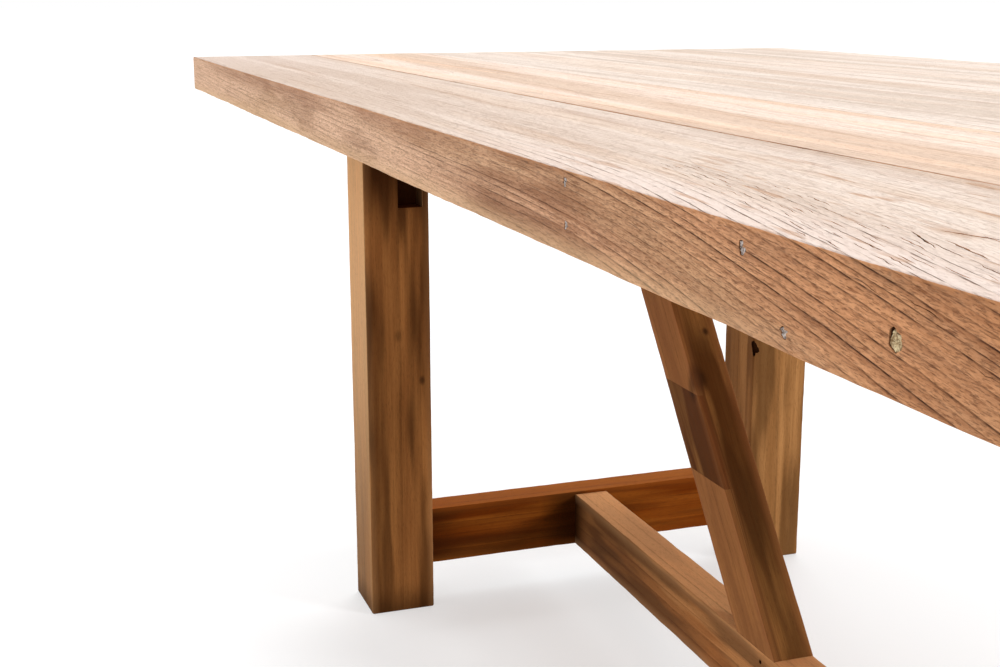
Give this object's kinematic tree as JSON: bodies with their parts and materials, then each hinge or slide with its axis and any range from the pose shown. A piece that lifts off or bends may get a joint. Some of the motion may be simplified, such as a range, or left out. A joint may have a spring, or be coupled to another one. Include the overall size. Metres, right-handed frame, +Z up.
{
  "type": "trestle dining table",
  "caption": "Long dining table with a thick plank top on end frames of square posts and bearers, tied by low cross rails, a centre stretcher and slanted braces.",
  "frame": {"origin": "on the floor under the middle of the top", "axes": "+X along the table, +Y across it towards the far side in the picture, +Z up"},
  "size_m": [2.4, 1, 0.76],
  "materials": {
    "top_wood": "pale sanded open grain",
    "frame_wood": "oiled brown, satin",
    "tongue_wood": "plain sawn",
    "steel": "zinc plated",
    "nail_steel": "weathered grey",
    "filler": "rough straw-coloured filling"
  },
  "bodies": {
    "root": {"top_plank_1": "top_wood", "top_plank_2": "top_wood", "top_plank_3": "top_wood", "top_plank_4": "top_wood", "top_plank_5": "top_wood", "top_plank_6": "top_wood", "bearer_left": "frame_wood", "bearer_right": "frame_wood", "middle_batten": "frame_wood", "post_front_left": "frame_wood", "post_back_left": "frame_wood", "post_front_right": "frame_wood", "post_back_right": "frame_wood", "cross_rail_left": "frame_wood", "cross_rail_right": "frame_wood", "long_stretcher": "frame_wood", "brace_left": "frame_wood", "brace_right": "frame_wood", "plank_tongues": "tongue_wood", "top_screws": "steel", "stretcher_bolts": "steel", "stretcher_washers": "steel", "barrel_nuts": "steel", "edge_plug": "filler", "nail_stubs": "nail_steel"}
  },
  "joints": []
}
